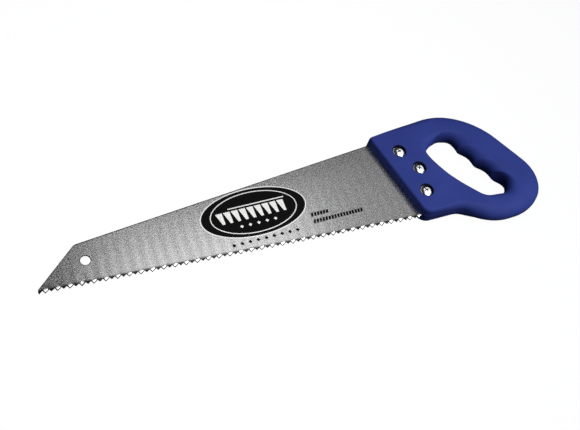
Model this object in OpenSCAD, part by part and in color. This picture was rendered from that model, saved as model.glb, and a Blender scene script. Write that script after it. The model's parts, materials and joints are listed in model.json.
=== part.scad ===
// Drywall saw: a stiff toothed blade held in the slot of a moulded D-handle by three barrel screws.
// Millimetres. The outlines are drawn in the saw's own plan: x runs along the tooth tips from the
// first tooth towards the handle, y towards the spine, z = 0 is the middle of the blade.
// on_table() then moves everything so that the handle's underside lies on z = 0 and the origin
// is under the middle of the whole saw.

/* [Blade] */
// Thickness of the blade steel
blade_thick = 1; // [0.8:0.1:1.4]
// Distance from one tooth tip to the next
tooth_pitch = 5.08; // [4.5:0.01:5.1]
// Number of teeth in front of the handle
tooth_count = 72; // [60:1:72]
// Depth of the gullet between two teeth
tooth_depth = 3.3; // [2:0.1:3.6]
// Share of the pitch taken by the long back of a tooth
tooth_back = 0.72; // [0.5:0.01:0.85]
// Height of the slanted nose where it meets the spine
nose_height = 40; // [36:0.5:41.5]
// Rise of the spine for every millimetre along the blade
spine_slope = 0.166; // [0.15:0.001:0.168]
// Diameter of the hanging hole
hang_hole_d = 8.8; // [5:0.1:10]
// How far the blade reaches along x, hidden tang included
tang_end = 382; // [380:0.5:383]

/* [Handle] */
// Thickness of the handle at its flat cheeks
handle_thick = 21; // [20:0.5:24]
// Depth of each finger groove
groove_depth = 3; // [0:0.1:3.5]
// Distance from one finger groove to the next
groove_pitch = 21; // [19:0.5:22]
// Clearance on each side of the blade in its slot
slot_gap = 0.1; // [0.05:0.05:0.3]

/* [Screws] */
// Diameter of a screw head and of a nut head
head_d = 11.6; // [10:0.1:12]
// Diameter of the recess that a head sits in
recess_d = 13.4; // [12.6:0.1:14]
// Depth of that recess
recess_depth = 2.8; // [2.7:0.1:4]
// Outer diameter of the barrel of a nut
barrel_d = 7; // [6.6:0.1:7.6]
// Diameter of a screw shank
shank_d = 4.8; // [4:0.1:5]

/* [Hidden] */
$fn = 64;
half_thick = handle_thick / 2;
seat_z = half_thick - recess_depth;

// x, y and radius of each corner of the handle's outer outline, from the front top round the back
outer_corners = [
    [335, 93.5, 3], [419, 112, 70.5], [464, 92.5, 78], [507.5, 17, 35],
    [478.5, -16.5, 54], [433, -20.5, 52], [400, -0.5, 20.5], [359.5, -1, 11]
];
// The same for the hand hole, each corner facing the outer corner of the same number
inner_corners = [
    [391, 65.5, 8.5], [393.5, 72, 13.5], [417, 89, 11.5], [441.5, 47, 60],
    [471, 8, 10], [432, 7, 20], [414, 23.5, 90], [399.5, 42.5, 69]
];
// How far the rounding reaches in from the outer edge and from the edge of the hand hole
outer_round = [3, 10, 18, 18, 18, 14, 7, 3];
inner_round = [8, 12, 15, 15, 12, 8, 5, 5];
corner_steps = 16;
round_steps = 5;
// The row of finger grooves: where it starts, and its direction along the grip
groove_start = [418.5, 86];
groove_angle = -59.6;
groove_count = 4;

// The three screws, top to bottom
screw_places = [[360.5, 72.1], [373.5, 49.4], [370.3, 23.5]];

// ---- outlines ----
function unit(v) = v / norm(v);

// One rounded corner of an outline, from the middle of the edge before it to the middle of the
// edge after it: straight, arc, straight, in steps of equal length
function corner_run(before, corner, after, radius) =
    let (
        in_way = unit(before - corner),
        out_way = unit(after - corner),
        half = acos(in_way * out_way) / 2,
        tangent = radius / tan(half),
        lead = norm(before - corner) / 2 - tangent,
        tail = norm(after - corner) / 2 - tangent,
        sweep = 180 - 2 * half,
        arc = radius * sweep * PI / 180,
        centre = corner + unit(in_way + out_way) * radius / sin(half),
        first = (corner + in_way * tangent - centre) / radius,
        turn = sign(cross(in_way, out_way)),
        side = -turn * [-first[1], first[0]]
    )
    [for (i = [0 : corner_steps - 1])
        let (run = (lead + arc + tail) * i / corner_steps, bend = (run - lead) / arc * sweep)
        run < lead ? corner + in_way * (tangent + lead - run)
        : run > lead + arc ? corner + out_way * (tangent + run - lead - arc)
        : centre + radius * (cos(bend) * first + sin(bend) * side)];

function plan(c) = [c[0], c[1]];

function outline(corners) =
    let (count = len(corners))
    [for (k = [0 : count - 1])
        each corner_run(plan(corners[(k + count - 1) % count]), plan(corners[k]),
            plan(corners[(k + 1) % count]), corners[k][2])];

// Pushes the part of the hand hole's outline that lies along the grip out into finger grooves
function grooved(point) =
    let (
        along = [cos(groove_angle), sin(groove_angle)],
        across = [-along[1], along[0]],
        reach = (point - groove_start) * along,
        away = (point - groove_start) * across,
        on_grip = reach > 0 && reach < groove_count * groove_pitch && away > -4
    )
    on_grip ? point + across * groove_depth * pow(abs(sin(180 * reach / groove_pitch)), 0.8) : point;

// A value given at the middle of each corner, eased from one corner to the next
function eased(values, i) =
    let (
        count = len(values),
        place = i / corner_steps - 0.5 + count,
        low = floor(place),
        blend = (1 - cos(180 * (place - low))) / 2
    )
    values[low % count] * (1 - blend) + values[(low + 1) % count] * blend;

outer_line = outline(outer_corners);
inner_line = [for (point = outline(inner_corners)) grooved(point)];

outer_x = [for (point = outer_line) point[0]];
outer_y = [for (point = outer_line) point[1]];
toe_x = -tooth_pitch - 0.45;
middle = [(toe_x + max(outer_x)) / 2, (min(outer_y) + max(outer_y)) / 2];

module on_table() {
    translate([-middle[0], -middle[1], half_thick]) children();
}

// ---- blade ----
last_gullet = (tooth_count - 2 + tooth_back) * tooth_pitch;
nose_run = nose_height * 0.922;
tang_spine = nose_height + spine_slope * (tang_end - 16 - nose_run + tooth_pitch);
tooth_points = [for (i = [-1 : tooth_count - 2])
    each [[i * tooth_pitch, 0], [(i + tooth_back) * tooth_pitch, tooth_depth]]];
blade_line = concat(
    [[toe_x, 0.6]],
    tooth_points,
    [
        [last_gullet + 2, tooth_depth], [tang_end - 5, tooth_depth], [tang_end, tooth_depth + 5],
        [tang_end, tang_spine - 14], [tang_end - 16, tang_spine],
        [nose_run - tooth_pitch, nose_height], [nose_run - tooth_pitch - 2.6, nose_height - 1.8],
        [toe_x + 0.4, 4.1], [toe_x, 2.8]
    ]
);
hang_hole = [38.2, 23];

module blade() {
    color([0.62, 0.63, 0.64]) on_table() difference() {
        translate([0, 0, -blade_thick / 2]) linear_extrude(blade_thick) polygon(blade_line);
        translate([hang_hole[0], hang_hole[1], -5]) cylinder(h = 10, d = hang_hole_d);
        for (place = screw_places) {
            translate([place[0], place[1], -5]) cylinder(h = 10, d = barrel_d + 0.2);
        }
    }
}

// ---- handle ----
skin_half = half_thick + 0.2;

// One slice across the ring of the handle, from the outer edge over the top face to the hand
// hole and back underneath: each edge is a quarter of an ellipse
function slice(i) =
    let (
        outer = outer_line[i],
        inner = inner_line[i],
        width = norm(outer - inner),
        way = (outer - inner) / width,
        outer_r = min(eased(outer_round, i), 0.55 * width),
        inner_r = min(eased(inner_round, i), width - outer_r),
        outer_h = min(outer_r, skin_half),
        inner_h = min(inner_r, skin_half),
        top = concat(
            [for (k = [0 : round_steps - 1]) let (a = 90 * k / (round_steps - 1))
                [width - outer_r * (1 - cos(a)), skin_half - outer_h * (1 - sin(a))]],
            [for (k = [round_steps - 1 : -1 : 0]) let (a = 90 * k / (round_steps - 1))
                [inner_r * (1 - cos(a)), skin_half - inner_h * (1 - sin(a))]]
        ),
        last = len(top) - 1,
        loop = concat(top, [for (k = [last : -1 : 0]) [top[k][0], -top[k][1]]])
    )
    [for (p = loop) [inner[0] + way[0] * p[0], inner[1] + way[1] * p[0], p[1]]];

module handle_skin() {
    around = len(outer_line);
    across = 4 * round_steps;
    function at(i, k) = (i % around) * across + k % across;
    polyhedron(
        points = [for (i = [0 : around - 1]) each slice(i)],
        faces = [for (i = [0 : around - 1], k = [0 : across - 1])
            each [[at(i, k), at(i, k + 1), at(i + 1, k + 1)], [at(i, k), at(i + 1, k + 1), at(i + 1, k)]]]
    );
}

// The slot that takes the tang, open at the front only
module blade_slot() {
    front = 325;
    floor_y = tooth_depth - 1;
    translate([0, 0, -blade_thick / 2 - slot_gap]) linear_extrude(blade_thick + 2 * slot_gap) polygon([
        [front, floor_y], [tang_end + 0.4, floor_y], [tang_end + 0.4, tang_spine - 13.5],
        [tang_end - 15.6, tang_spine + 0.5], [front, tang_spine + 0.5 - spine_slope * (tang_end - 15.6 - front)]
    ]);
}

module handle() {
    color([0.17, 0.22, 0.53]) on_table() difference() {
        intersection() {
            handle_skin();
            translate([300, -60, -half_thick]) cube([240, 200, handle_thick]);
        }
        blade_slot();
        for (place = screw_places) {
            translate([place[0], place[1], -30]) cylinder(h = 60, d = barrel_d + 0.2);
            translate([place[0], place[1], seat_z]) cylinder(h = 30, d = recess_d);
            translate([place[0], place[1], -seat_z - 30]) cylinder(h = 30, d = recess_d);
        }
    }
}

// ---- screws and nuts ----
head_edge = 0.9;
dome_h = 1.7;
dome_r = (head_d * head_d / 4 + dome_h * dome_h) / (2 * dome_h);

// A domed head standing on z = 0
module domed_head() {
    cylinder(h = head_edge, d = head_d);
    intersection() {
        translate([0, 0, head_edge + dome_h - dome_r]) sphere(r = dome_r, $fn = 96);
        translate([0, 0, head_edge / 2]) cylinder(h = dome_h + head_edge, d = head_d);
    }
}

// Cross-point screw, head up
module screw(place, turn) {
    tip = seat_z - 12.5;
    color([0.85, 0.86, 0.88]) on_table() translate([place[0], place[1], 0]) rotate([0, 0, turn]) difference() {
        union() {
            translate([0, 0, seat_z]) domed_head();
            translate([0, 0, tip]) cylinder(h = seat_z - tip + 0.2, d = shank_d);
        }
        for (a = [0, 90]) {
            rotate([0, 0, a]) translate([-2.9, -0.6, seat_z + head_edge - 0.2]) cube([5.8, 1.2, 4]);
        }
    }
}

// Barrel nut, head down, its head slotted for a wide driver
module nut(place, turn) {
    color([0.85, 0.86, 0.88]) on_table() translate([place[0], place[1], 0]) rotate([180, 0, turn]) difference() {
        union() {
            translate([0, 0, seat_z]) domed_head();
            translate([0, 0, 0.8 - seat_z]) cylinder(h = 2 * seat_z - 0.6, d = barrel_d);
        }
        translate([0, 0, -seat_z]) cylinder(h = 2 * seat_z - 0.6, d = shank_d + 0.1);
        translate([-head_d, -0.7, seat_z + head_edge + dome_h - 1.1]) cube([2 * head_d, 1.4, 4]);
    }
}

module screw_top() { screw(screw_places[0], 20); }
module screw_mid() { screw(screw_places[1], 62); }
module screw_low() { screw(screw_places[2], 24); }
module nut_top() { nut(screw_places[0], 35); }
module nut_mid() { nut(screw_places[1], -20); }
module nut_low() { nut(screw_places[2], 70); }

blade();
handle();
screw_top();
screw_mid();
screw_low();
nut_top();
nut_mid();
nut_low();
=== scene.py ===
# Drywall saw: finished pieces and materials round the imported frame.
import json
import math

import bmesh
import bpy
import numpy as np
from mathutils import Matrix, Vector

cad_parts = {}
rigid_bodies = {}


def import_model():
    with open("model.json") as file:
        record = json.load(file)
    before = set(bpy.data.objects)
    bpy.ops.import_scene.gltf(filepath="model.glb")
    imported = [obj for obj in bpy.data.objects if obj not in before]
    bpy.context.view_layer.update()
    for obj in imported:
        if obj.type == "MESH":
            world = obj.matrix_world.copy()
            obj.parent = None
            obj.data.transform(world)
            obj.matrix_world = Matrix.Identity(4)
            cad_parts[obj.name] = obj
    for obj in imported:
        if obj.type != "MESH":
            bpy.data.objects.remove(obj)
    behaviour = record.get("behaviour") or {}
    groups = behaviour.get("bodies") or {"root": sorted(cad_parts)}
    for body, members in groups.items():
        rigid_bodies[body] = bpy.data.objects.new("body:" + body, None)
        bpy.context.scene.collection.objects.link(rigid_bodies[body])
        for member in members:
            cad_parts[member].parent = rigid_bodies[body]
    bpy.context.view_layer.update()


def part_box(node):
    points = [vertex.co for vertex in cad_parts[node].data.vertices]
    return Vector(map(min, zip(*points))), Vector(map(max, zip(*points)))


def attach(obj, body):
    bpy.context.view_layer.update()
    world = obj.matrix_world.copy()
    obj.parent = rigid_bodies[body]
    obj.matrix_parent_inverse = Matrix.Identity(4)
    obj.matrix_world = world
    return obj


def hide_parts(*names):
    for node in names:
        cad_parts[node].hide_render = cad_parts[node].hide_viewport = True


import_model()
print("frame loaded")

mm = 0.001
tau = 2 * math.pi

# The saw's own plan, in millimetres: x along the tooth tips from the second tooth towards the
# handle, y towards the spine, z = 0 in the middle of the steel
toeX = -5.53
bladeLow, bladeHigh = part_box("blade")
handleLow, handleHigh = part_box("handle")
planZero = np.array([bladeLow.x - toeX * mm, bladeLow.y, (bladeLow.z + bladeHigh.z) / 2])
halfSteel = (bladeHigh.z - bladeLow.z) / 2 / mm
halfHandle = (handleHigh.z - handleLow.z) / 2 / mm


# A plan point becomes a frame point: millimetres to metres, then moved by planZero
def inFrame(points):
    return np.asarray(points, float) * mm + planZero


# Quads joining each point of a grid to the next in its row and in its column
def gridFaces(rows, cols, closeRows, closeCols):
    r = np.arange(rows if closeRows else rows - 1)[:, None]
    c = np.arange(cols if closeCols else cols - 1)[None, :]
    nextR, nextC = (r + 1) % rows, (c + 1) % cols
    quads = [r * cols + c, r * cols + nextC, nextR * cols + nextC, nextR * cols + c]
    return np.stack(np.broadcast_arrays(*quads), -1).reshape(-1, 4)


# One solid from one or more grids of plan points. Every row is a closed loop; the first and last
# rows are joined, or capped, or shrink to a pole that merging closes. Slots numbers the material
# of each quad of the grid
def solidPiece(name, grids, closeRows=False, caps=False, sharp=30, slots=None):
    points, faces, start = [], [], 0
    for grid in grids:
        rows, cols = grid.shape[:2]
        points.append(grid.reshape(-1, 3))
        faces += (gridFaces(rows, cols, closeRows, True) + start).tolist()
        if caps:
            faces.append(list(range(start + cols - 1, start - 1, -1)))
            faces.append(list(range(start + (rows - 1) * cols, start + rows * cols)))
        start += rows * cols
    mesh = bpy.data.meshes.new(name)
    mesh.from_pydata(inFrame(np.vstack(points)).tolist(), [], faces)
    if slots is not None:
        chosen = np.zeros(len(faces), np.int32)
        chosen[:slots.size] = slots.ravel()
        mesh.polygons.foreach_set("material_index", chosen)
    tidyMesh(mesh, sharp)
    piece = bpy.data.objects.new(name, mesh)
    bpy.context.collection.objects.link(piece)
    return piece


# Merges doubled points, turns all faces outwards, and shades smooth except over edges sharper
# than the angle given in degrees
def tidyMesh(mesh, sharp):
    work = bmesh.new()
    work.from_mesh(mesh)
    bmesh.ops.remove_doubles(work, verts=work.verts, dist=1e-7)
    bmesh.ops.recalc_face_normals(work, faces=work.faces)
    work.to_mesh(mesh)
    work.free()
    mesh.shade_smooth()
    mesh.set_sharp_from_angle(angle=math.radians(sharp))


# The piece less each cutter, one exact boolean at a time; the cutters are thrown away, and a cut
# face takes the cutter's finish, or else the piece's first one
def carve(piece, cutters, sharp=30):
    for cutter in cutters:
        if not cutter.data.materials:
            cutter.data.materials.append(piece.data.materials[0])
        step = piece.modifiers.new("carve", "BOOLEAN")
        step.operation = "DIFFERENCE"
        step.solver = "EXACT"
        step.material_mode = "TRANSFER"
        step.object = cutter
        bpy.context.view_layer.update()
        seen = piece.evaluated_get(bpy.context.evaluated_depsgraph_get())
        carved = bpy.data.meshes.new_from_object(seen)
        piece.modifiers.clear()
        piece.data = carved
        bpy.data.objects.remove(cutter)
    piece.data.name = piece.name
    piece.data.shade_smooth()
    piece.data.set_sharp_from_angle(angle=math.radians(sharp))


# A profile of (radius, height) points carried once round a vertical axis at a plan place:
# x = centre + r cos t, y = centre + r sin t, z = height
def turned(name, profile, place, around=72, sharp=30):
    profile = np.asarray(profile, float)
    t = np.arange(around) / around * tau
    r, z = profile[:, 0][:, None], profile[:, 1][:, None]
    x = place[0] + r * np.cos(t)
    y = place[1] + r * np.sin(t)
    return solidPiece(name, [np.stack([x, y, z + 0 * t], -1)], sharp=sharp)


# A flat outline carried straight up from low to high: two rows, capped
def prismGrid(outline, low, high):
    outline = np.asarray(outline, float)
    rows = [np.column_stack([outline, np.full(len(outline), z)]) for z in (low, high)]
    return np.stack(rows)


# Quarter of an ellipse from angle 0 to 90 degrees: (cos a, sin a) at equal steps
def quarter(steps):
    a = np.linspace(0, math.pi / 2, steps)
    return np.cos(a), np.sin(a)


# A material with its shader, its object coordinates and a function that adds and joins nodes
class Finish:
    def __init__(self, name, colour, rough, metal=0.0, specular=0.5):
        self.material = bpy.data.materials.new(name)
        self.material.use_nodes = True
        self.nodes = self.material.node_tree.nodes
        self.links = self.material.node_tree.links
        self.shader = self.nodes["Principled BSDF"]
        self.set(self.shader, {"Base Color": (*colour, 1), "Roughness": rough, "Metallic": metal,
                               "Specular IOR Level": specular})
        self.place = self.nodes.new("ShaderNodeTexCoord").outputs["Object"]

    # joins each named input to a socket, or gives it a plain value
    def set(self, node, values):
        for socket, value in values.items():
            if isinstance(value, bpy.types.NodeSocket):
                self.links.new(value, node.inputs[socket])
            else:
                node.inputs[socket].default_value = value

    # a new node of one kind with its settings and inputs
    def add(self, kind, values={}, **settings):
        node = self.nodes.new("ShaderNode" + kind)
        for key, value in settings.items():
            setattr(node, key, value)
        self.set(node, values)
        return node

    # object coordinates stretched by three factors
    def stretched(self, factors):
        return self.add("Mapping", {"Vector": self.place, "Scale": factors}).outputs["Vector"]

    # fractal noise at so many features a metre
    def noise(self, scale, detail=3.0, rough=0.5, vector=None):
        values = {"Vector": vector or self.place, "Scale": scale, "Detail": detail, "Roughness": rough}
        return self.add("TexNoise", values).outputs["Fac"]

    # the value eased from one range to another, clamped
    def remap(self, value, fromLow, fromHigh, toLow, toHigh):
        values = {"Value": value, "From Min": fromLow, "From Max": fromHigh,
                  "To Min": toLow, "To Max": toHigh}
        return self.add("MapRange", values).outputs["Result"]

    # a and b through one operation
    def math(self, operation, a, b):
        node = self.add("Math", {0: a, 1: b}, operation=operation)
        return node.outputs[0]

    # colour a where the factor is 0, colour b where it is 1
    def mix(self, factor, a, b):
        node = self.add("Mix", data_type="RGBA", blend_type="MIX")
        a, b = [c if hasattr(c, "links") else (*c, 1) for c in (a, b)]
        self.set(node, {0: factor, 6: a, 7: b})
        return node.outputs[2]

    # height in metres into the shader's normal
    def bump(self, height, distance, strength=1.0):
        node = self.add("Bump", {"Height": height, "Distance": distance, "Strength": strength})
        self.set(self.shader, {"Normal": node.outputs["Normal"]})


steelLook = {
    "colour": (0.70, 0.70, 0.705),
    "darkGrain": (0.30, 0.30, 0.303),
    "grain": 900,          # speckles a metre
    "rough": (0.22, 0.34),
    "cloud": (18, 0.15),   # broad patches a metre, and how far they darken
    "grindLines": 2600,    # fine lines across the blade, a metre
    "groundColour": (0.66, 0.66, 0.66), "groundLines": (6000, 900, 900), "groundRough": (0.28, 0.42),
    "hardenedAndShadeHeight": (4.3, 2.6),  # mm above the tips where the dark starts and is full: the hardening's colour and painted shade
    "hardenedAndShadeColour": (0.04, 0.04, 0.041),
    # dark oxide of the sheared edges, also laid on as painted shade along the edges
    "edgeColour": (0.005, 0.005, 0.005),
}


# Satin steel: a mottled grain varies colour and roughness, long thin noise along y is the grinding,
# and the tooth points darken below the hardened height, partly the hardening's colour and partly painted shade
def bladeSteel(look):
    f = Finish("bladeSteel", look["colour"], 0.4, metal=1.0)
    grain = f.noise(look["grain"], 3.0, 0.7)
    patches, depth = look["cloud"]
    cloud = f.noise(patches, 2.0)
    lines = f.noise(1.0, 3.0, 0.6, f.stretched((look["grindLines"], look["grindLines"] * 0.02, 1)))
    tone = f.mix(f.remap(grain, 0.40, 0.60, 0, 1), look["darkGrain"], look["colour"])
    tone = f.mix(f.remap(cloud, 0.3, 0.7, 0.0, depth), tone, look["darkGrain"])
    height = f.add("SeparateXYZ", {"Vector": f.place}).outputs["Y"]
    # Painted shade with the hardening's colour: the tooth points darken below this height
    start, full = [float(planZero[1]) + h * mm for h in look["hardenedAndShadeHeight"]]
    hardAndShade = f.remap(height, start, full, 0, 1)
    f.set(f.shader, {"Base Color": f.mix(hardAndShade, tone, look["hardenedAndShadeColour"])})
    rough = f.remap(f.math("ADD", grain, f.math("MULTIPLY", lines, 0.1)), 0.42, 0.72, *look["rough"])
    f.set(f.shader, {"Roughness": rough})
    f.bump(f.math("ADD", grain, f.math("MULTIPLY", lines, 0.1)), 0.00005, 0.6)
    return f.material


# Near-black finish with a scuffed grain: the oxide of sheared steel, and painted shade along the blade's edges
# and in recesses
def edgeSteel(look, name):
    f = Finish(name, look["edgeColour"], 0.5, specular=0.15)
    scuff = f.noise(900, 3.0, 0.6)
    pale = tuple(3 * c for c in look["edgeColour"])
    f.set(f.shader, {"Base Color": f.mix(f.remap(scuff, 0.5, 0.75, 0, 1), look["edgeColour"], pale)})
    f.set(f.shader, {"Roughness": f.remap(scuff, 0.3, 0.7, 0.45, 0.6)})
    f.bump(scuff, 0.00003, 0.6)
    return f.material


# Bright steel left by the grinding wheel on the tooth bevels: fine lines across each facet
def groundSteel(look):
    f = Finish("groundSteel", look["groundColour"], 0.3, metal=1.0)
    lines = f.noise(1.0, 2.0, 0.6, f.stretched(look["groundLines"]))
    f.set(f.shader, {"Roughness": f.remap(lines, 0.3, 0.7, *look["groundRough"])})
    f.bump(lines, 0.00002, 0.5)
    return f.material


plasticLook = {
    "colour": (0.028, 0.046, 0.240),
    # paler tone for the slow drifts, and for the painted highlight on the edges
    "pale": (0.035, 0.056, 0.285),
    "deep": (0.003, 0.005, 0.020),    # painted shade lining the screw recesses
    "rough": (0.55, 0.70),
    "specular": 0.10,
    "texture": 1600,       # moulded texture bumps a metre
}


# Moulded plastic: a spark-eroded texture in the bump, slow drifts of tone and roughness, and a painted
# highlight: paler edges where pointiness is high
def handlePlastic(look, name):
    f = Finish(name, look["colour"], 0.55, specular=look["specular"])
    drift = f.noise(22, 3.0)
    speckle = f.noise(look["texture"], 3.0, 0.6)
    tone = f.mix(f.remap(drift, 0.3, 0.7, 0, 1), look["colour"], look["pale"])
    # Painted highlight: convex edges, where pointiness is high, turn paler
    edge = f.remap(f.add("NewGeometry").outputs["Pointiness"], 0.52, 0.60, 0, 0.5)
    tone = f.mix(edge, tone, look["pale"])
    f.set(f.shader, {"Base Color": tone})
    rough = f.remap(f.math("ADD", f.math("MULTIPLY", drift, 0.5), speckle), 0.45, 1.05, *look["rough"])
    f.set(f.shader, {"Roughness": rough})
    f.bump(speckle, 0.00008, 0.5)
    return f.material


chromeLook = {
    "colour": (0.88, 0.89, 0.91),
    "rough": (0.06, 0.16),
    "scratches": (1500, 9000, 4000), "smudges": 260,    # a metre
    "crossRecessShade": (0.06, 0.06, 0.06),                        # painted shade in the cross recesses
}


# Polished plating: fine scratches and faint smudges in the roughness
def chromePlate(look):
    f = Finish("chromePlate", look["colour"], 0.1, metal=1.0)
    scratch = f.noise(1.0, 3.0, 0.6, f.stretched(look["scratches"]))
    smudge = f.noise(look["smudges"], 2.0)
    f.set(f.shader, {"Roughness": f.remap(f.math("ADD", scratch, smudge), 0.7, 1.3, *look["rough"])})
    f.bump(f.math("ADD", scratch, smudge), 0.000015, 0.5)
    return f.material


# Printed ink: one colour with a fine screen mottle and thin spots, and a share of metallic shine
def printInk(name, colour, thin, rough, metal):
    f = Finish(name, colour, rough, metal=metal, specular=0.06)
    mottle = f.noise(1900, 3.0, 0.6)
    f.set(f.shader, {"Base Color": f.mix(f.remap(mottle, 0.45, 0.75, 0, 1), colour, thin)})
    f.set(f.shader, {"Roughness": f.remap(mottle, 0.3, 0.7, rough - 0.08, rough + 0.06)})
    f.bump(mottle, 0.00001, 0.4)
    return f.material


steelBlade = bladeSteel(steelLook)
steelGround = groundSteel(steelLook)
# Dark sheared edges: partly oxide, partly painted shade along the blade's edges
edgeOxideAndShade = edgeSteel(steelLook, "edgeOxideAndShade")
plasticBlue = handlePlastic(plasticLook, "plasticBlue")
# Painted shade: a near-black copy of the blue plastic lines the screw recesses
recessShadeLook = dict(plasticLook, colour=plasticLook["deep"], pale=plasticLook["deep"])
plasticRecessShade = handlePlastic(recessShadeLook, "plasticRecessShade")
chrome = chromePlate(chromeLook)
# Painted shade for the heads' cross recesses
crossRecessShade = edgeSteel({"edgeColour": chromeLook["crossRecessShade"]}, "crossRecessPaintedShade")
inkBlack = printInk("inkBlack", (0.0015, 0.0015, 0.0015), (0.004, 0.004, 0.004), 0.60, 0.0)
inkPale = printInk("inkPale", (0.86, 0.86, 0.85), (0.66, 0.66, 0.65), 0.36, 0.45)
print("materials made")

# One rounded corner from the middle of the edge before it to the middle of the edge after it:
# a straight run, an arc of the given radius touching both edges, a straight run, at equal steps
def cornerRun(before, corner, after, radius, steps):
    inWay, outWay = before - corner, after - corner
    inLong, outLong = np.linalg.norm(inWay), np.linalg.norm(outWay)
    inWay, outWay = inWay / inLong, outWay / outLong
    half = math.acos(np.clip(inWay @ outWay, -1, 1)) / 2
    tangent = radius / math.tan(half)
    lead, tail = inLong / 2 - tangent, outLong / 2 - tangent
    arc = radius * (math.pi - 2 * half)
    middle = (inWay + outWay) / np.linalg.norm(inWay + outWay)
    centre = corner + middle * radius / math.sin(half)
    first = (corner + inWay * tangent - centre) / radius
    turn = np.sign(inWay[0] * outWay[1] - inWay[1] * outWay[0])
    side = -turn * np.array([-first[1], first[0]])
    run = (np.arange(steps) / steps * (lead + arc + tail))[:, None]
    bend = (run - lead) / radius
    return np.where(run < lead, corner + inWay * (tangent + lead - run),
                    np.where(run > lead + arc, corner + outWay * (tangent + run - lead - arc),
                             centre + radius * (np.cos(bend) * first + np.sin(bend) * side)))


# Every corner's run in turn: a closed outline of (x, y, radius) corners
def outline(corners, steps):
    c = np.asarray(corners, float)
    before, after = np.roll(c, 1, 0), np.roll(c, -1, 0)
    runs = [cornerRun(before[k, :2], c[k, :2], after[k, :2], c[k, 2], steps) for k in range(len(c))]
    return np.vstack(runs)


# A value given at the middle of each corner, eased by a cosine from one corner to the next
def eased(values, steps):
    values = np.asarray(values, float)
    place = np.arange(len(values) * steps) / steps - 0.5
    low = np.floor(place).astype(int)
    blend = (1 - np.cos(math.pi * (place - low))) / 2
    return values[low % len(values)] * (1 - blend) + values[(low + 1) % len(values)] * blend


screwPlaces = [("top", 360.5, 72.1), ("mid", 373.5, 49.4), ("low", 370.3, 23.5)]

handleShape = {
    # x, y and radius of the corners, from the front top round the back; the hand hole's corners
    # face the outer ones
    "outer": [(335, 93.5, 3), (419, 112, 70.5), (464, 92.5, 78), (507.5, 17, 35),
              (478.5, -16.5, 54), (433, -20.5, 52), (400, -0.5, 20.5), (359.5, -1, 11)],
    "inner": [(391, 65.5, 8.5), (393.5, 72, 13.5), (417, 89, 11.5), (441.5, 47, 60),
              (471, 8, 10), (432, 7, 20), (414, 23.5, 90), (399.5, 42.5, 69)],
    "outerRound": [3, 10, 18, 18, 18, 14, 7, 3],
    "innerRound": [8, 12, 15, 15, 12, 8, 5, 5],
    "steps": 48,            # points to a corner
    "roundSteps": 12,       # points to a rounded edge
    "grooveStart": (418.5, 86), "grooveAngle": -59.6, "groovePitch": 21, "grooves": 4, "grooveDepth": 3,
    "partingHigh": 0.12, "partingWide": 0.35,
    "recessRadius": 6.7, "recessDepth": 2.8, "rimRound": 0.5, "boreRadius": 3.6,
    "seatRound": 0.35,      # fillet at the bottom of a recess
    "slotGap": 0.1, "slotFloor": 2.3, "slotStart": 325, "slotEnd": 382.4, "slotSpare": 0.5,
}


# The hand hole's outline, pushed away from the hole along the grip by depth * |sin(pi s / pitch)|^0.8
def groovedHole(shape):
    line = outline(shape["inner"], shape["steps"])
    angle = math.radians(shape["grooveAngle"])
    along = np.array([math.cos(angle), math.sin(angle)])
    across = np.array([-along[1], along[0]])
    s = (line - shape["grooveStart"]) @ along
    away = (line - shape["grooveStart"]) @ across
    onGrip = (s > 0) & (s < shape["grooves"] * shape["groovePitch"]) & (away > -4)
    wave = np.sqrt(np.sin(math.pi * s / shape["groovePitch"]) ** 2 + 0.004) ** 0.8 - 0.004 ** 0.4
    return line + np.where(onGrip, shape["grooveDepth"] * wave, 0)[:, None] * across


# The ring round the hand hole. For each point of the two outlines, one slice: a flat top and
# bottom joined by quarter ellipses, with a thin parting ridge where the two mould halves met
def handleGrid(shape):
    outer, inner = outline(shape["outer"], shape["steps"]), groovedHole(shape)
    width = np.linalg.norm(outer - inner, axis=1)[:, None]
    way = (outer - inner) / width
    outerR = np.minimum(eased(shape["outerRound"], shape["steps"])[:, None], 0.55 * width)
    innerR = np.minimum(eased(shape["innerRound"], shape["steps"])[:, None], width - outerR)
    tallest = halfHandle - shape["partingWide"] - 0.1
    outerH, innerH = np.minimum(outerR, tallest), np.minimum(innerR, tallest)
    c, s = quarter(shape["roundSteps"])
    ridge = np.zeros_like(width)
    reach = np.hstack([width + shape["partingHigh"], width, width - outerR * (1 - c),
                       innerR * (1 - c[::-1]), ridge, ridge - shape["partingHigh"]])
    high = np.hstack([ridge, ridge + shape["partingWide"], halfHandle - outerH * (1 - s),
                      halfHandle - innerH * (1 - s[::-1]), ridge + shape["partingWide"], ridge])
    reach = np.hstack([reach, reach[:, -2:0:-1]])
    high = np.hstack([high, -high[:, -2:0:-1]])
    flat = inner[:, None, :] + way[:, None, :] * reach[..., None]
    return np.concatenate([flat, high[..., None]], -1)


# A cutter turned about the screw's axis: the bore, a recess at each face, and a rounded rim there
def recessProfile(shape):
    seat, r, rim = halfHandle - shape["recessDepth"], shape["recessRadius"], shape["rimRound"]
    c, s = quarter(7)
    fillet = shape["seatRound"]
    half = [(shape["boreRadius"], seat), (r - fillet, seat), (r, seat + fillet)]
    half += list(zip(r + rim * (1 - c), halfHandle - rim + rim * s))
    half += [(r + rim, halfHandle + 6), (0, halfHandle + 6)]
    return [(a, -b) for a, b in half[::-1]] + half


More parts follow.
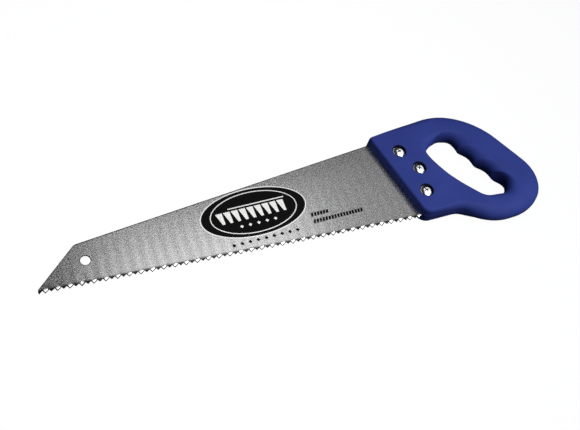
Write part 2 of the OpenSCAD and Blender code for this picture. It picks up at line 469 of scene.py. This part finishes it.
# The ring, less a slot for the tang (half the steel plus a gap to each side) and a bore with two
# recesses for each screw
def makeHandle(shape):
    piece = solidPiece("handleShell", [handleGrid(shape)], closeRows=True)
    gap, top = halfSteel + shape["slotGap"], bladeShape["tangTop"] + shape["slotSpare"]
    cutLong, cutHigh = bladeShape["tangCut"]
    start, end, floor = shape["slotStart"], shape["slotEnd"], shape["slotFloor"]
    drop = bladeShape["spineSlope"] * (end - cutLong - start)
    slot = [(start, floor), (end, floor), (end, top - cutHigh), (end - cutLong, top), (start, top - drop)]
    cutters = [solidPiece("slotCutter", [prismGrid(slot, -gap, gap)], caps=True)]
    for name, x, y in screwPlaces:
        cutters.append(turned("recessCutter", recessProfile(shape), (x, y)))
        # The recess walls, floors and rims take the near-black plastic: painted shade
        cutters[-1].data.materials.append(plasticRecessShade)
    piece.data.materials.append(plasticBlue)
    carve(piece, cutters, sharp=32)
    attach(piece, "root")
    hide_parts("handle")


bladeShape = {
    "pitch": 5.08, "teeth": 72, "depth": 3.3, "back": 0.72,
    "set": 0.42,            # how far each tip leans out, left and right in turn
    "bendHeight": 5.6,      # where the lean starts
    "bevelShift": 0.9, "bevelTop": 4.5,
    "burrAndShade": 1.25,           # mm of a bevel left dark along its cutting edge: a burr, and painted shade
    "noseCorner": (31.8, 39.95, 4.5), "noseReach": 14,
    "spineSlope": 0.166, "tangEnd": 382, "tangTop": 95.48,
    "tangCut": (16, 14),    # length and height of the tang's cut-off top corner
    "toothEnd": 361.3, "tangHeel": 5,
    "edgeBreak": 0.2,       # chamfer along the spine
    "edgeBand": 0.9,        # dark band beside it: sheared oxide, and painted shade
    "hangHole": (38.2, 23, 4.4), "holeBreak": (0.6, 0.3), "tangHole": 3.6,
}


# Height of the blade's top edge at each x: nose slope, rounded corner, spine, dropped tang end
def topEdge(shape):
    x, y, radius = shape["noseCorner"]
    cutLong, cutHigh = shape["tangCut"]
    toe, tang = np.array([toeX + 0.4, 4.1]), np.array([shape["tangEnd"] - cutLong, shape["tangTop"]])
    reach = shape["noseReach"]
    corner = np.array([x, y])
    before = corner + (toe - corner) / np.linalg.norm(toe - corner) * reach
    after = corner + (tang - corner) / np.linalg.norm(tang - corner) * reach
    bend = cornerRun(before, corner, after, radius, 12)
    return np.vstack([[toeX, 2.8], toe, bend, tang, [shape["tangEnd"], shape["tangTop"] - cutHigh]])


# The bottom edge of each face, one row of (station, x, y, z) for every tip and gullet. A tooth leans
# to one face, where its whole outline shows; the wheel has ground its flanks back from the other
# face, where the outline stops at the bevel's top and each gullet is shifted towards that tooth
def toothEdge(shape, face):
    i = np.arange(-1, shape["teeth"] - 1)
    leans = np.where(i % 2 == 1, face == "near", face == "far")
    ground = ~leans & (i >= 0)
    side = 1 if face == "near" else -1
    tipX = i * shape["pitch"]
    tip = np.stack([tipX, tipX + 0.6 * ground, shape["bevelTop"] * ground,
                    side * (halfSteel + shape["set"] * leans)], 1)
    gulletX = tipX + shape["back"] * shape["pitch"]
    shift = np.where(leans, 1, -1) * shape["bevelShift"]
    z, depth = side * halfSteel, shape["depth"]
    gullet = np.stack([gulletX, gulletX + shift, np.full(len(i), depth), np.full(len(i), z)], 1)
    rows = np.stack([tip, gullet], 1).reshape(-1, 4)
    last, heel = shape["tangEnd"], shape["tangHeel"]
    start = [[toeX, toeX, 0.9, z]]
    end = [[x, x, y, z] for x, y in ((shape["toothEnd"], depth), (last - heel, depth), (last, depth + heel))]
    return np.vstack([start, rows, end])


# One closed loop for each station along the blade: up the near face from the tooth edge to the
# spine, down the far face, and back across the tooth's bevel in three steps
def bladeGrid(shape):
    near, far, top = toothEdge(shape, "near"), toothEdge(shape, "far"), topEdge(shape)
    stations = np.unique(np.round(np.concatenate([near[:, 0], top[:, 0]]), 6))
    n = np.stack([np.interp(stations, near[:, 0], near[:, k]) for k in (1, 2, 3)], 1)
    f = np.stack([np.interp(stations, far[:, 0], far[:, k]) for k in (1, 2, 3)], 1)
    y = np.interp(stations, top[:, 0], top[:, 1])
    edge, band = shape["edgeBreak"], shape["edgeBand"]
    bend = np.minimum(shape["bendHeight"], y - band - 0.2)
    heights = [(bend, halfSteel), (y - band, halfSteel), (y - edge, halfSteel), (y, halfSteel - edge)]
    up = [np.stack([stations, high, np.full_like(y, z)], 1) for high, z in heights]
    down = [np.stack([stations, high, np.full_like(y, -z)], 1) for high, z in heights[::-1]]
    share = np.clip(shape["burrAndShade"] / np.maximum(np.linalg.norm(n - f, axis=1), 0.01), 0.05, 0.6)[:, None]
    across = [f + (n - f) * share, n + (f - n) * share]
    return np.stack([n] + up + down + [f] + across, 1)


# Material of each quad: 2, the dark sheared edge, oxide and painted shade, along the spine; 1, ground, on a
# bevel;
# and 2 again on the dark strip beside its cutting edge, a burr and painted shade, and wherever the two faces
# end at the same height
def bladeSlots(grid):
    lean = grid[:, 0, 1] - grid[:, 9, 1]
    lean = (lean[1:] + lean[:-1]) / 2
    slots = np.zeros((len(lean), grid.shape[1]), np.int32)
    slots[:, [2, 3, 4, 5, 6]] = 2
    slots[:, 9] = np.where(lean > 0.4, 2, 1)
    slots[:, 10] = 1
    slots[:, 11] = np.where(lean < -0.4, 2, 1)
    slots[np.abs(lean) < 0.4, 9:] = 2
    return slots


# The stacked loops, less the hanging hole with a chamfer at each face and a hole for each screw
def makeBlade(shape):
    grid = bladeGrid(shape)
    piece = solidPiece("bladeSteel", [grid], caps=True, sharp=20, slots=bladeSlots(grid))
    for finish in (steelBlade, steelGround, edgeOxideAndShade):
        piece.data.materials.append(finish)
    x, y, r = shape["hangHole"]
    wide, deep = shape["holeBreak"]
    rim = [(0, -3), (r + wide, -3), (r + wide, -halfSteel), (r, deep - halfSteel),
           (r, halfSteel - deep), (r + wide, halfSteel), (r + wide, 3), (0, 3)]
    cutters = [turned("holeCutter", rim, (x, y), 96)]
    # The hanging hole's chamfer and bore take the dark edge finish: oxide and painted shade
    cutters[0].data.materials.append(edgeOxideAndShade)
    plain = [(0, -3), (shape["tangHole"], -3), (shape["tangHole"], 3), (0, 3)]
    cutters += [turned("holeCutter", plain, (sx, sy)) for name, sx, sy in screwPlaces]
    carve(piece, cutters, sharp=20)
    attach(piece, "root")
    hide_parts("blade")


makeBlade(bladeShape)
print("blade made")
makeHandle(handleShape)
print("handle made")

fastenerShape = {
    "headRadius": 5.8, "headEdge": 0.9, "domeHigh": 1.7, "edgeRound": 0.35,
    "footRadius": 5.2,      # flat underside of a head
    "shankRadius": 2.35, "threadDepth": 0.3, "threadPitch": 0.8, "shankLong": 12.5,
    "barrelRadius": 3.5, "barrelBore": 2.45, "barrelShort": 0.8, "boreDeep": 0.6, "mouthBevel": 0.3,
    "wingLong": 5.8, "wingWide": 1.3, "wingDeep": 1.9, "wingTaper": 0.55,
    "slotWide": 1.4, "slotDeep": 1.1,
    "screwTurns": {"top": 20, "mid": 62, "low": 24},
    "nutTurns": {"top": 35, "mid": -20, "low": 70},
}


# Upper profile of a head standing on height 0: straight edge, small rounding, then the arc of the
# dome, which falls from the top as sqrt(R^2 - r^2)
def headProfile(shape):
    r, edge, dome, small = (shape[k] for k in ("headRadius", "headEdge", "domeHigh", "edgeRound"))
    big = (r * r + dome * dome) / (2 * dome)
    c, s = quarter(5)
    rounding = list(zip(r - small * (1 - c), edge - small * 0.4 + small * 0.4 * s))
    reach = np.linspace(r - small, 0, 18)[1:]
    arc = list(zip(reach, edge + dome - big + np.sqrt(big * big - reach * reach)))
    return [(r, 0.15)] + rounding + arc


# A tapered bar lying along angle turn: wide and long at its top, narrower and shorter below
def wingGrid(place, turn, long, wide, taper, low, high):
    a = math.radians(turn)
    along, across = np.array([math.cos(a), math.sin(a)]), np.array([-math.sin(a), math.cos(a)])
    rows = []
    for z, shrink in ((low, taper), (high, 1.0)):
        corner = [(-1, -1), (1, -1), (1, 1), (-1, 1)]
        halfLong, halfWide = long * shrink / 2, wide * (shrink + 1) / 4
        rows.append([[*(np.array(place) + along * u * halfLong + across * v * halfWide), z] for u, v in corner])
    return np.array(rows)


# Thread on the shank: radius falls from the crest by a triangle wave of (height / pitch - turn)
def threadGrid(shape, place, low, high):
    around = 24
    z = np.linspace(low, high, int((high - low) / shape["threadPitch"] * 6))[:, None]
    t = np.arange(around)[None, :] / around
    wave = np.abs(((z / shape["threadPitch"] - t) % 1) * 2 - 1)
    fade = np.clip(np.minimum(z - low, high - z) / 0.8, 0, 1)
    r = shape["shankRadius"] - shape["threadDepth"] * wave * fade
    x, y = place[0] + r * np.cos(t * tau), place[1] + r * np.sin(t * tau)
    ring = np.stack([x, y, z + 0 * t], -1)
    pole = np.broadcast_to([[place[0], place[1], 0]], (1, around, 3)).copy()
    bottom, top = pole.copy(), pole.copy()
    bottom[..., 2], top[..., 2] = low, high
    return np.concatenate([bottom, ring, top])


# Moves heights measured from the seat to the screw's or the nut's side of the handle
def flipped(profile, side, seat):
    return [(r, side * (z + seat)) for r, z in profile]


# A domed head on the seat (half the handle less the recess), less two tapered bars a quarter turn
# apart for the cross recess, and a threaded shank hanging below it
def makeScrews(shape):
    seat = halfHandle - handleShape["recessDepth"]
    topZ = seat + shape["headEdge"] + shape["domeHigh"]
    for name, x, y in screwPlaces:
        turn = shape["screwTurns"][name]
        profile = flipped([(0, 0), (shape["footRadius"], 0)] + headProfile(shape), 1, seat)
        head = turned("screw_" + name + "_head", profile, (x, y), 96, sharp=28)
        wings = [wingGrid((x, y), turn + a, shape["wingLong"], shape["wingWide"], shape["wingTaper"],
                          topZ - shape["wingDeep"], topZ + 0.3) for a in (0, 90)]
        cutters = [solidPiece("wingCutter", [w], caps=True) for w in wings]
        # The cross recess's walls take the near-black finish: painted shade
        for cutter in cutters:
            cutter.data.materials.append(crossRecessShade)
        head.data.materials.append(chrome)
        carve(head, cutters, sharp=28)
        shank = solidPiece("screw_" + name + "_shank",
                           [threadGrid(shape, (x, y), seat - shape["shankLong"], seat + 0.05)], sharp=40)
        shank.data.materials.append(chrome)
        for piece in (head, shank):
            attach(piece, "root")
            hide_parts("screw_" + name)


# The same head turned over, with a barrel bored out from its mouth, less one straight bar across
def makeNuts(shape):
    seat = halfHandle - handleShape["recessDepth"]
    mouth, deep, bevel = shape["barrelShort"] - 2 * seat, -shape["boreDeep"], shape["mouthBevel"]
    topZ = seat + shape["headEdge"] + shape["domeHigh"]
    for name, x, y in screwPlaces:
        bore, barrel = shape["barrelBore"], shape["barrelRadius"]
        inside = [(0, deep), (bore, deep), (bore, mouth + bevel), (bore + bevel, mouth),
                  (barrel - bevel, mouth), (barrel, mouth + bevel), (barrel, 0), (shape["footRadius"], 0)]
        profile = flipped(inside + headProfile(shape), -1, seat)
        nut = turned("nut_" + name + "_barrel", profile, (x, y), 96, sharp=28)
        slot = wingGrid((x, y), shape["nutTurns"][name], 14, shape["slotWide"], 1.0,
                        -topZ - 0.5, -topZ + shape["slotDeep"])
        nut.data.materials.append(chrome)
        carve(nut, [solidPiece("slotCutter", [slot], caps=True)], sharp=28)
        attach(nut, "root")
        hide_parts("nut_" + name)


makeScrews(fastenerShape)
makeNuts(fastenerShape)
print("screws and nuts made")

printShape = {
    "centre": (197.75, 39.6), "turn": 3.35,
    "oval": (51.6, 24.6), "halo": 1.1,
    "ring": (43.0, 21.8), "ringWide": 0.9,
    "inkHigh": 0.05, "topInkHigh": 0.09, "sunk": 0.02,
    "rule": (-23.2, 33.3, 8.1, 9.2), "teeth": 9, "toothStart": -33.2, "toothPitch": 7.65,
    "tooth": (6.5, 2.6, 6.1, -5.9),     # width at the top and at the tip, heights of both
    "dots": 5, "dotStart": (-16.5, -11.9), "dotPitch": 8.43, "dotSize": 1.7,
    "rowStart": (-30.5, -28.8), "rowMarks": 9, "rowPitch": 7.94, "rowSize": 2.0,
    "lines": [((51.2, -17.5), 6), ((50.9, -24.9), 17)], "hatch": (3.1, 2.3, 0.9, 4.0),
}


# A point of the badge, in its own turned axes, to the plan
def onBadge(points):
    a = math.radians(printShape["turn"])
    turn = np.array([[math.cos(a), math.sin(a)], [-math.sin(a), math.cos(a)]])
    return np.asarray(points, float) @ turn + printShape["centre"]


# A film between two ellipses: at each angle a four-point slice from the inner edge to the outer,
# or a whole disc when the inner ellipse is nothing
def ellipseFilm(outer, inner, high, around=160):
    t = np.arange(around) / around * tau
    unit = np.stack([np.cos(t), np.sin(t)], -1)
    low = halfSteel - printShape["sunk"]
    rows = [(inner, low), (outer, low), (outer, halfSteel + high), (inner, halfSteel + high)]
    return np.stack([np.column_stack([onBadge(unit * size), np.full(around, z)]) for size, z in rows])


# One closed film of ink, sunk a little into the steel so that nothing shows under its rim
def inkPiece(name, grids, ink, closeRows=False, caps=False):
    piece = solidPiece(name, grids, closeRows=closeRows, caps=caps)
    piece.data.materials.append(ink)
    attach(piece, "root")


# Diamonds at equal steps along a row in the badge's axes
def diamonds(start, count, pitch, size):
    corners = np.array([(-1, 0), (0, -1), (1, 0), (0, 1)]) * size
    return [onBadge(corners + [start[0] + k * pitch, start[1]]) for k in range(count)]


# A row of leaning strokes: pitch, width, lean and height of each
def hatching(start, count, stroke):
    pitch, wide, lean, high = stroke
    corners = np.array([(0, -high / 2), (wide, -high / 2), (wide + lean, high / 2), (lean, high / 2)])
    return [onBadge(corners + [start[0] + k * pitch, start[1]]) for k in range(count)]


# A rule over a row of plain tapered saw teeth, each a four-sided outline
def toothRow(shape):
    left, right, low, high = shape["rule"]
    wide, tip, top, bottom = shape["tooth"]
    marks = [onBadge([(left, low), (right, low), (right, high), (left, high)])]
    for k in range(shape["teeth"]):
        x = shape["toothStart"] + k * shape["toothPitch"]
        lean = wide * 0.25
        marks.append(onBadge([(x + lean - tip / 2, bottom), (x + lean + tip / 2, bottom),
                              (x + wide / 2, top), (x - wide / 2, top)]))
    return marks


# An oval of ink, a pale rim round it, a ring and a row of teeth lying on it, and the loose marks
def makePrint(shape):
    oval, ring = np.array(shape["oval"]), np.array(shape["ring"])
    nothing, top = np.zeros(2), shape["topInkHigh"]
    low, high = halfSteel - shape["sunk"], halfSteel + shape["inkHigh"]
    halo = ellipseFilm(oval + shape["halo"], oval + 0.02, shape["inkHigh"])
    inkPiece("badgeOval", [ellipseFilm(oval, nothing, shape["inkHigh"])], inkBlack)
    inkPiece("badgeEdge", [halo], inkPale, closeRows=True)
    inkPiece("badgeRing", [ellipseFilm(ring, ring - shape["ringWide"], top)], inkPale, closeRows=True)
    inkPiece("badgeTeeth", [prismGrid(m, low, halfSteel + top) for m in toothRow(shape)], inkPale, caps=True)
    marks = diamonds(shape["dotStart"], shape["dots"], shape["dotPitch"], shape["dotSize"])
    inkPiece("badgeDots", [prismGrid(m, low, halfSteel + top) for m in marks], inkPale, caps=True)
    marks = diamonds(shape["rowStart"], shape["rowMarks"], shape["rowPitch"], shape["rowSize"])
    for start, count in shape["lines"]:
        marks += hatching(start, count, shape["hatch"])
    inkPiece("bladeMarks", [prismGrid(m, low, high) for m in marks], inkBlack, caps=True)


makePrint(printShape)
print("print made")

roomLook = {
    "floorColour": (0.88, 0.88, 0.88), "floorSize": 6.0,
    "world": (0.92, 0.95, 1.0), "worldStrength": 0.04,
    # azimuth, elevation and distance from the middle of the blade, roll, width and height in
    # metres, power in watts
    "saw": {"keyLight": (62, 56, 1.2, 0, 0.9, 0.9, 13.6)},
    "blade": {"bladeCard": (159.8, 67.1, 0.521, 21, 0.33, 0.10, 0.25),
              "endCard": (123.7, 48, 0.592, 50, 0.2, 0.14, 0.042),
              "toothCard": (-77, 63, 1.0, 0, 0.5, 0.5, 2.2), "rightFill": (0, 32, 1.3, 0, 1.3, 1.1, 2.6),
              "leftFill": (180, 24, 1.3, 0, 1.3, 0.8, 1.2), "frontFill": (-90, 24, 1.3, 0, 1.3, 0.8, 1.8)},
    "chrome": {"chromeCard": (80, 42, 1.0, 0, 2.4, 2.1, 17)},
    "floor": {"floorLight": (0, 90, 2.2, 0, 3.0, 3.0, 86)},
}


# A wide pale plane under the saw, lit by its own light
def makeFloor(look):
    half = look["floorSize"] / 2
    mesh = bpy.data.meshes.new("floor")
    corners = [(-half, -half, 0), (half, -half, 0), (half, half, 0), (-half, half, 0)]
    mesh.from_pydata(corners, [], [(0, 1, 2, 3)])
    floor = bpy.data.objects.new("floor", mesh)
    bpy.context.collection.objects.link(floor)
    floor.visible_diffuse = False
    floor.visible_glossy = False
    mesh.materials.append(Finish("floorPaint", look["floorColour"], 0.8, specular=0.1).material)
    return floor


# A flat soft light at an azimuth, elevation and distance from the middle of the blade, facing it
def softLight(name, azimuth, elevation, distance, roll, wide, high, power):
    data = bpy.data.lights.new(name, "AREA")
    data.shape = "RECTANGLE"
    data.size = wide
    data.size_y = high
    data.energy = power
    light = bpy.data.objects.new(name, data)
    bpy.context.collection.objects.link(light)
    away = direction(azimuth, elevation)
    light.matrix_world = facing(inFrame([200, 40, 0]) + away * distance, away, roll)
    return light


# The key light falls on the whole saw. The blade and its print have cards and fills of their own
# for the steel to mirror, the plated pieces one more, and the floor's light falls on nothing else
def makeLights(look, floor):
    groups = {name: bpy.data.collections.new(name + "Only") for name in ("saw", "blade", "chrome", "floor")}
    groups["floor"].objects.link(floor)
    for piece in bpy.context.scene.objects:
        if piece.type == "MESH" and piece != floor:
            groups["saw"].objects.link(piece)
            if piece.name.startswith(("screw", "nut")) and not piece.hide_render:
                groups["chrome"].objects.link(piece)
            if piece.name.startswith(("blade", "badge")):
                groups["blade"].objects.link(piece)
    for name, group in groups.items():
        for label, values in look[name].items():
            light = softLight(label, *values)
            light.light_linking.receiver_collection = group
            light.light_linking.blocker_collection = groups["floor" if name == "floor" else "saw"]


# Unit vector towards an azimuth, counted from -Y towards +X, and an elevation, both in degrees
def direction(azimuth, elevation):
    a, e = math.radians(azimuth), math.radians(elevation)
    return np.array([math.sin(a) * math.cos(e), -math.cos(a) * math.cos(e), math.sin(e)])


# A view matrix at a place, its back turned along away, rolled about that axis by the given degrees
def facing(place, away, roll):
    back = np.asarray(away) / np.linalg.norm(away)
    right = np.cross([0, 0, 1] if abs(back[2]) < 0.999 else [0, 1, 0], back)
    right = right / np.linalg.norm(right)
    up = np.cross(back, right)
    r = math.radians(roll)
    rolledRight = right * math.cos(r) + up * math.sin(r)
    rolledUp = up * math.cos(r) - right * math.sin(r)
    matrix = Matrix.Identity(4)
    for row in range(3):
        matrix[row][0], matrix[row][1], matrix[row][2] = rolledRight[row], rolledUp[row], back[row]
        matrix[row][3] = place[row]
    return matrix


cameraLook = {"target": (230.44, 29.5, 0), "azimuth": -37.57, "elevation": 56.25, "roll": 21.9,
              "distance": 0.8401, "lens": 55.86}


# Stands the camera at an azimuth, elevation and distance from its target and rolls it
def makeCamera(look):
    away = direction(look["azimuth"], look["elevation"])
    data = bpy.data.cameras.new("camera")
    data.lens = look["lens"]
    data.sensor_width = 36
    camera = bpy.data.objects.new("camera", data)
    bpy.context.collection.objects.link(camera)
    camera.matrix_world = facing(inFrame(look["target"]) + away * look["distance"], away, look["roll"])
    bpy.context.scene.camera = camera


makeLights(roomLook, makeFloor(roomLook))
world = bpy.data.worlds.new("room")
world.use_nodes = True
world.node_tree.nodes["Background"].inputs["Color"].default_value = (*roomLook["world"], 1)
world.node_tree.nodes["Background"].inputs["Strength"].default_value = roomLook["worldStrength"]
bpy.context.scene.world = world
bpy.context.scene.view_settings.view_transform = "Standard"
makeCamera(cameraLook)
print("room made")
